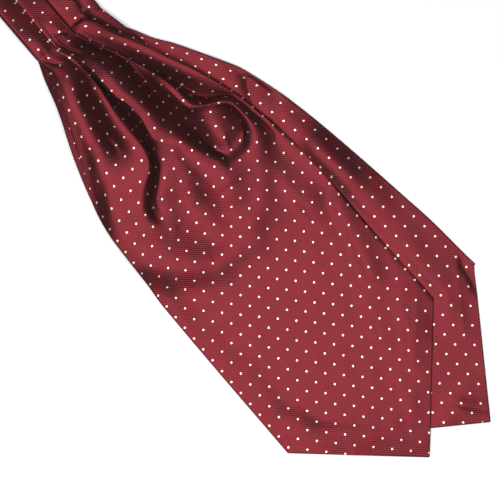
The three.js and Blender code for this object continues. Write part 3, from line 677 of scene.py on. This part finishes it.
def mathNode(tree, operation, first, second=None, third=None):
    # one sum in the material, on numbers or on the outputs of other nodes
    node = tree.nodes.new("ShaderNodeMath")
    node.operation = operation
    for socket, value in zip(node.inputs, (first, second, third)):
        if value is None:
            continue
        if isinstance(value, (int, float)):
            socket.default_value = value
        else:
            wire(tree, value, socket)
    return node.outputs[0]


def silkCloth(name, start, toneSeed):
    # Satin-faced silk: a coloured metallic sheen over a dark ground, cream dots on a lattice of
    # the cloth's own coordinates, and a bump of two crossed sets of ribs on the bias
    material = bpy.data.materials.new(name)
    material.use_nodes = True
    tree = material.node_tree
    shader = tree.nodes["Principled BSDF"]
    place = tree.nodes.new("ShaderNodeUVMap")
    place.uv_map = "cloth"
    parts = tree.nodes.new("ShaderNodeSeparateXYZ")
    wire(tree, place.outputs["UV"], parts.inputs[0])
    along = mathNode(tree, "MULTIPLY", parts.outputs["X"], 1 / mm)
    across = mathNode(tree, "MULTIPLY", parts.outputs["Y"], 1 / mm)
    # distance to the nearest lattice point
    offsets = []
    for value, first, step in zip((along, across), start, silk["dotStep"]):
        shifted = mathNode(tree, "SUBTRACT", value, first - step / 2)
        cell = mathNode(tree, "FLOORED_MODULO", shifted, step)
        offsets.append(mathNode(tree, "SUBTRACT", cell, step / 2))
    squares = [mathNode(tree, "MULTIPLY", offset, offset) for offset in offsets]
    distance = mathNode(tree, "SQRT", mathNode(tree, "ADD", *squares))
    # a woven dot has a stepped, slightly ragged edge
    fray = tree.nodes.new("ShaderNodeTexNoise")
    fray.inputs["Scale"].default_value = silk["frayScale"]
    fray.inputs["Detail"].default_value = 1.0
    wire(tree, place.outputs["UV"], fray.inputs["Vector"])
    ragged = mathNode(tree, "MULTIPLY_ADD", fray.outputs["Fac"], silk["dotFray"], -silk["dotFray"] / 2)
    edge = mathNode(tree, "ADD", distance, ragged)
    dot = tree.nodes.new("ShaderNodeMapRange")
    dot.interpolation_type = "SMOOTHSTEP"
    dot.inputs["From Min"].default_value = silk["dotSize"] - silk["dotBlur"]
    dot.inputs["From Max"].default_value = silk["dotSize"] + silk["dotBlur"]
    dot.inputs["To Min"].default_value = 1.0
    dot.inputs["To Max"].default_value = 0.0
    wire(tree, edge, dot.inputs["Value"])
    # warp and weft lie at 45 degrees to the blade
    turn = 2 * math.pi / silk["ribStep"] * diagonal
    ribWay = mathNode(tree, "SUBTRACT", along, across)
    weftWay = mathNode(tree, "ADD", along, across)
    rib = mathNode(tree, "SINE", mathNode(tree, "MULTIPLY", ribWay, turn))
    weft = mathNode(tree, "SINE", mathNode(tree, "MULTIPLY", weftWay, turn))
    weave = mathNode(tree, "MULTIPLY_ADD", weft, silk["weft"], rib)
    # slow change of tone, as where the cloth has been handled
    tone = tree.nodes.new("ShaderNodeTexNoise")
    tone.inputs["Scale"].default_value = silk["toneScale"]
    tone.inputs["Detail"].default_value = 3.0
    tone.noise_dimensions = "4D"
    tone.inputs["W"].default_value = toneSeed
    wire(tree, place.outputs["UV"], tone.inputs["Vector"])
    ground = tree.nodes.new("ShaderNodeMix")
    ground.data_type = "RGBA"
    for socket, shade in (("A", silk["darker"]), ("B", silk["paler"])):
        ground.inputs[socket].default_value = (*np.multiply(silk["ground"], shade), 1)
    wire(tree, tone.outputs["Fac"], ground.inputs["Factor"])
    colour = tree.nodes.new("ShaderNodeMix")
    colour.data_type = "RGBA"
    wire(tree, dot.outputs["Result"], colour.inputs["Factor"])
    wire(tree, ground.outputs["Result"], colour.inputs["A"])
    colour.inputs["B"].default_value = (*silk["dot"], 1)
    wire(tree, colour.outputs["Result"], shader.inputs["Base Color"])
    rough = mathNode(tree, "MULTIPLY_ADD", weave, silk["ribRoughness"], silk["roughness"])
    wire(tree, rough, shader.inputs["Roughness"])
    relief = mathNode(tree, "MULTIPLY_ADD", dot.outputs["Result"], silk["dotRelief"], weave)
    bump = tree.nodes.new("ShaderNodeBump")
    bump.inputs["Strength"].default_value = 1.0
    bump.inputs["Distance"].default_value = silk["ribDepth"] * mm
    wire(tree, relief, bump.inputs["Height"])
    wire(tree, bump.outputs["Normal"], shader.inputs["Normal"])
    shader.inputs["Metallic"].default_value = silk["metallic"]
    shader.inputs["Coat Weight"].default_value = silk["coat"]
    shader.inputs["Coat Roughness"].default_value = silk["coatRoughness"]
    return material


def dress(piece, material, node):
    # gives a finished piece its cloth and its body, and hides the solid that it stands for
    piece.data.materials.append(material)
    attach(piece, "root")
    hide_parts(node)


say("upper blade")

upper = {
    "rows": spread(-cut["length"], (-240, 140), (-150, 50), (-6, 52), (0, 8)),
    # x where each of these lines stops being a hard crease
    "creases": {"valleyA": -318, "footB": -252, "valleyB": -262, "hollow": -256, "footC": -262},
    "creaseColumns": 4,    # columns on either side that keep their shape with it
    "creaseFade": 10,
    "soft": 3,             # rounds of evening out, at the pleats
    "softer": 9,           # and where the cloth is open
    "softerFrom": -316,
    "softerOver": 16,
    "ripple": 0.22,
    "rippleFrom": -330,
    "rippleOver": 60,
    "calmHem": 4,          # no ripple or seam this near the hem
    "leastRise": 0.6,
}


def creaseShare(y):
    # 1 on the columns of a hard crease, smoothly down to 0 a few columns off and past its end
    columns = np.arange(y.shape[1])
    kept = np.zeros_like(y)
    for name, end in upper["creases"].items():
        near = 1 - smooth(np.abs(columns - lineAt[name]) / upper["creaseColumns"])
        before = smooth((end - upper["rows"]) / upper["creaseFade"])
        kept = np.maximum(kept, near[None, :] * before[:, None])
    return kept


def upperBladeSilk(cloth):
    # The folds, evened out but for their creases, plus the soft ridges, the seam and the ripple,
    # all on top of what the blade lies on. Returns the section at the tack line.
    place, y, rise = foldedFace(upper["rows"])
    loose = 1 - creaseShare(y)
    rise = mix(rise, soften(rise, upper["soft"]), loose)
    openCloth = smooth((place - upper["softerFrom"]) / upper["softerOver"])
    rise = mix(rise, soften(rise, upper["softer"]), loose * openCloth)
    rest = restHeight(place, y)
    calm = smooth((place - upper["rippleFrom"]) / upper["rippleOver"])
    inner = smooth((cut["width"] / 2 - np.abs(y)) / upper["calmHem"])
    detail = creaseHeight(upperCreases, place, y) + creaseHeight(tackCreases, place, y)
    detail += (seamLine(place, y) + ripple(place, y, upper["ripple"]) * calm) * inner
    z = rest + np.maximum(rise + detail, upper["leastRise"])
    under = underSide(place, y, z, cut["wall"], rest)
    across = acrossCloth(place, y, z) - acrossShift(place)
    blade = wallMesh("upper_blade_silk", np.stack([place, y, z], -1), np.stack([place, y, under], -1),
                     alongCloth(place, y), across, creased=[lineAt[name] for name in upper["creases"]])
    dress(blade, cloth, "upper_blade")
    return y[0], z[0]


upperSilk = silkCloth("upperSilk", silk["upperStart"], silk["upperTone"])
tackY, tackHeight = upperBladeSilk(upperSilk)

say("lower blade")

lower = {
    "rows": spread(-cut["length"], (-250, 110), (-150, 50), (-8, 70), (0, 8)),
    "halfColumns": 60,
    "ripple": 0.18,
    "rippleShift": (37, -12),    # so that its ripple isn't the upper blade's
    "calmHem": 4,
    "openFrom": (20, -40),       # y and x past which it isn't covered
    "openOver": (25, 20),
    "underLift": 0.5,            # its underside lies this far above its pile, at most
    "leastHeight": 0.8,
}


def lowerBladeSilk(cloth):
    # The pile and its swells, plus ridges, seam and ripple where the blade isn't covered. The
    # cloth's across coordinate is the length over the section, scaled to the cut's width.
    sides = tableAt(lowerOutline, lower["rows"])
    left, right = sides[:, :1], sides[:, 1:2]
    w = np.linspace(0, 1, lower["halfColumns"] + 1)[None, :]
    y = np.hstack([mix(left, 0 * left, w), mix(0 * right, right, w[:, 1:])])
    lean = clamp01(1 - lower["rows"] / cut["endZone"])[:, None]
    place = np.where(lean > 0, mix(cut["endZone"], endOfBlade(y), lean), lower["rows"][:, None])
    base = lowerTop(place, y)
    pile = tableAt(lowerOutline, place.ravel())[:, 2].reshape(place.shape)
    inner = smooth((right - y) / lower["calmHem"]) * smooth((y - left) / lower["calmHem"])
    openSide = smooth((y - lower["openFrom"][0]) / lower["openOver"][0])
    openEnd = smooth((place - lower["openFrom"][1]) / lower["openOver"][1])
    shiftX, shiftY = lower["rippleShift"]
    detail = creaseHeight(lowerCreases, place, y) + seamLine(place, y)
    detail += ripple(place + shiftX, y + shiftY, lower["ripple"])
    z = np.maximum(base + detail * inner * clamp01(openSide + openEnd), lower["leastHeight"])
    under = np.maximum(0, base - pile - lower["underLift"])
    step = np.hypot(np.diff(y, axis=1), np.diff(z, axis=1))
    length = np.hstack([np.zeros((len(y), 1)), np.cumsum(step, axis=1)])
    across = -cut["width"] / 2 + cut["width"] * length / length[:, -1:]
    x, turnedY = fromLower(place, y)
    blade = wallMesh("lower_blade_silk", np.stack([x, turnedY, z], -1),
                     np.stack([x, turnedY, under], -1), place, across)
    dress(blade, cloth, "lower_blade")


lowerSilk = silkCloth("lowerSilk", silk["lowerStart"], silk["lowerTone"])
lowerBladeSilk(lowerSilk)

say("neckband")

band = {
    "length": 200.0,         # of each half, and its width once pleated
    "pleated": 58.0,
    "nose": 4.3,             # how far the turn at its end stands out
    "turnLength": 13.5,      # of cloth, round the turn
    "turnSteps": 19,
    "rollShare": 0.14,       # part of a strip taken by the roll of its folded lip
    "meetFrom": -419.0,      # from here on it takes the shape of the blade at the tack line
    "rows": spread(bandStart, (-425, 64), (-397.02, 40)),
    "ripple": 0.25,
    "gap": 0.3,
    "creases": ("footB", "footC", "hemRight"),
}
bandStrips = [
    # each strip by the blade's lines that run out of it, its height at the folded lip and at the
    # far side, how it bends between them (1 straight, more as it falls later), and its cloth
    {"first": "hemLeft", "last": "footB", "lip": 5.4, "end": 0.9, "bend": 1.5, "roll": 1.2,
     "cloth": clothMap["lineA"], "sense": 1},
    {"first": "shoulderB", "last": "footC", "lip": 6.0, "end": 2.4, "bend": 1.1, "roll": 0.9,
     "cloth": clothMap["lineB"], "sense": 1},
    {"first": "lipC", "last": "hemRight", "lip": 5.2, "end": 4.0, "bend": 1.5, "roll": 0.8,
     "cloth": 60.3, "sense": 1},
    {"first": "flangeFoot", "last": "flangeEdge", "lip": 2.7, "end": 2.5, "bend": 1.0, "roll": 0.1,
     "cloth": 55.0, "sense": -1},
]
bandPile = [
    # x, thickness of the lower half
    [-601.3, 4.0],
    [-425, 4.0],
    [-403, 3.6],
    [-384, 3.4],
]


def bandFace(x, tackY, tackHeight):
    # Strips side by side, in the blade's own columns: the height falls from the lip to the far
    # side by a power of the share across, less a small parabola where the lip rolls over. Over
    # the last stretch it changes into the blade's own section.
    heights = np.zeros_like(tackY)
    cloths = np.zeros_like(tackY)
    for strip in bandStrips:
        part = slice(lineAt[strip["first"]], lineAt[strip["last"]] + 1)
        y = tackY[part]
        w = (y - y[0]) / (y[-1] - y[0])
        roll = strip["roll"] * clamp01(1 - w / band["rollShare"]) ** 2
        heights[part] = mix(strip["lip"], strip["end"], w ** strip["bend"]) - roll
        cloths[part] = strip["cloth"] + strip["sense"] * (y - y[0])
    share = smooth((x - band["meetFrom"]) / (-cut["length"] - band["meetFrom"]))[:, None]
    rest = (tableAt(bandPile, x) + band["gap"]) * np.ones_like(tackY)
    z = mix(rest + heights, tackHeight, share)
    return tackY + 0 * z, z, cloths + 0 * z, rest


def upperBandSilk(cloth):
    # the strips' face, plus the pinches at the tack line and a ripple, down to the lower half
    y, z, across, rest = bandFace(band["rows"], tackY, tackHeight)
    x = band["rows"][:, None] + 0 * y
    z = z + creaseHeight(tackCreases, x, y) + ripple(x, y, band["ripple"])
    half = wallMesh("upper_neckband_silk", np.stack([x, y, z], -1), np.stack([x, y, rest], -1),
                    alongCloth(x, y), across, rollLast=False,
                    creased=[lineAt[name] for name in band["creases"]])
    dress(half, cloth, "upper_neckband")


lowerBand = {
    "sides": (-28.2, 27.8),
    "columns": 41,
    "bend": (-440.0, -384.9),   # between these it turns into the lower blade's direction
    "short": 0.05,              # of the lower blade, so that the two don't cross
}


def lowerBandSilk(cloth):
    # a pile of even thickness whose sections move smoothly from square to the upper blade to
    # square to the lower one
    bendFrom, bendTo = lowerBand["bend"]
    rows = spread(bandStart, (bendFrom, 40), (bendTo, 40))
    across = np.linspace(*lowerBand["sides"], lowerBand["columns"])[None, :]
    endX, endY = fromLower(-cut["length"] - lowerBand["short"] + 0 * across, across)
    share = smooth((rows - bendFrom) / (bendTo - bendFrom))[:, None]
    x, y = mix(rows[:, None], endX, share), mix(across, endY, share)
    z = tableAt(bandPile, rows) + 0 * x
    half = wallMesh("lower_neckband_silk", np.stack([x, y, z], -1), np.stack([x, y, 0 * z], -1),
                    alongCloth(x, y), y, rollLast=False)
    dress(half, cloth, "lower_neckband")


def turnSilk(cloth):
    # the neckband's first section swept round a quarter of an ellipse above and below its middle
    startAngle, seam = math.radians(6), 0.02
    angles = np.linspace(startAngle, math.pi / 2, band["turnSteps"] + 1)[:, None]
    y, face, across, rest = bandFace(np.array([bandStart]), tackY, tackHeight)
    x = bandStart - seam - band["nose"] * np.cos(angles) + 0 * y
    y, across = y + 0 * x, across + 0 * x
    top = face / 2 * (1 + np.sin(angles))
    bottom = face / 2 * (1 - np.sin(angles))
    turn = wallMesh("neckband_turn_silk", np.stack([x, y, top], -1), np.stack([x, y, bottom], -1),
                    alongCloth(x, y), across, rollFirst=True, rollLast=False)
    dress(turn, cloth, "neckband_turn")


upperBandSilk(upperSilk)
lowerBandSilk(lowerSilk)
turnSilk(upperSilk)

say("table, light and camera")

view = {
    "centre": (-195.8, -1.8),   # middle of the picture
    "across": 358.35,           # millimetres over its width
    "height": 2200.0,
    "heading": math.degrees(math.atan2(0.762, 0.648)),   # from the blade's direction
}
studio = {
    "tableSize": 3.0,        # metres
    "tableDrop": 0.0002,     # below the cloth, so that the two don't cross
    "tableGrey": 0.5,
    "tableRoughness": 0.9,
    "tableGlow": 0.15,
    "lampSize": 1.35,
    "lampHeight": 1.5,
    "lampAside": 0.2,
    "lampPower": 50.5,
    "sky": (0.8, 0.82, 0.85, 1),
    "skyStrength": 0.045,
}
centreX = (view["centre"][0] + originX) * mm
centreY = (view["centre"][1] + originY) * mm


def whiteTable():
    # a square of matt paper under the cravat
    mesh = bpy.data.meshes.new("table")
    half = studio["tableSize"] / 2
    corners = [(-half, -half, 0), (half, -half, 0), (half, half, 0), (-half, half, 0)]
    mesh.from_pydata(corners, [], [(0, 1, 2, 3)])
    paper = bpy.data.materials.new("whitePaper")
    paper.use_nodes = True
    shader = paper.node_tree.nodes["Principled BSDF"]
    shader.inputs["Base Color"].default_value = (*[studio["tableGrey"]] * 3, 1)
    shader.inputs["Roughness"].default_value = studio["tableRoughness"]
    shader.inputs["Emission Color"].default_value = (1, 1, 1, 1)
    shader.inputs["Emission Strength"].default_value = studio["tableGlow"]
    mesh.materials.append(paper)
    table = bpy.data.objects.new("table", mesh)
    table.location = (0, 0, -studio["tableDrop"])
    bpy.context.scene.collection.objects.link(table)


def overheadLamp():
    # one large round lamp, a little aside of the middle of the picture and tipped outwards from
    # it, by the angle whose tangent is aside over height
    lamp = bpy.data.lights.new("overhead", "AREA")
    lamp.shape = "DISK"
    lamp.size = studio["lampSize"]
    lamp.energy = studio["lampPower"]
    holder = bpy.data.objects.new("overhead", lamp)
    holder.location = (centreX, centreY - studio["lampAside"], studio["lampHeight"])
    tip = math.atan2(studio["lampAside"], studio["lampHeight"])
    holder.rotation_euler = (tip, 0, math.pi)
    bpy.context.scene.collection.objects.link(holder)


def paleSky():
    # faint even light from all round
    world = bpy.data.worlds.new("studio")
    world.use_nodes = True
    background = world.node_tree.nodes["Background"]
    background.inputs["Color"].default_value = studio["sky"]
    background.inputs["Strength"].default_value = studio["skyStrength"]
    bpy.context.scene.world = world


def cameraAbove():
    # straight down, turned so that the blade runs as in the picture; the lens takes in the
    # picture's width at the table
    lens = bpy.data.cameras.new("above")
    lens.lens = lens.sensor_width * view["height"] / view["across"]
    lens.clip_end = 20
    camera = bpy.data.objects.new("above", lens)
    camera.location = (centreX, centreY, view["height"] * mm)
    camera.rotation_euler = (0, 0, math.radians(view["heading"]))
    bpy.context.scene.collection.objects.link(camera)
    bpy.context.scene.camera = camera


whiteTable()
overheadLamp()
paleSky()
cameraAbove()
bpy.context.scene.view_settings.view_transform = "Standard"
bpy.context.scene.view_settings.look = "None"
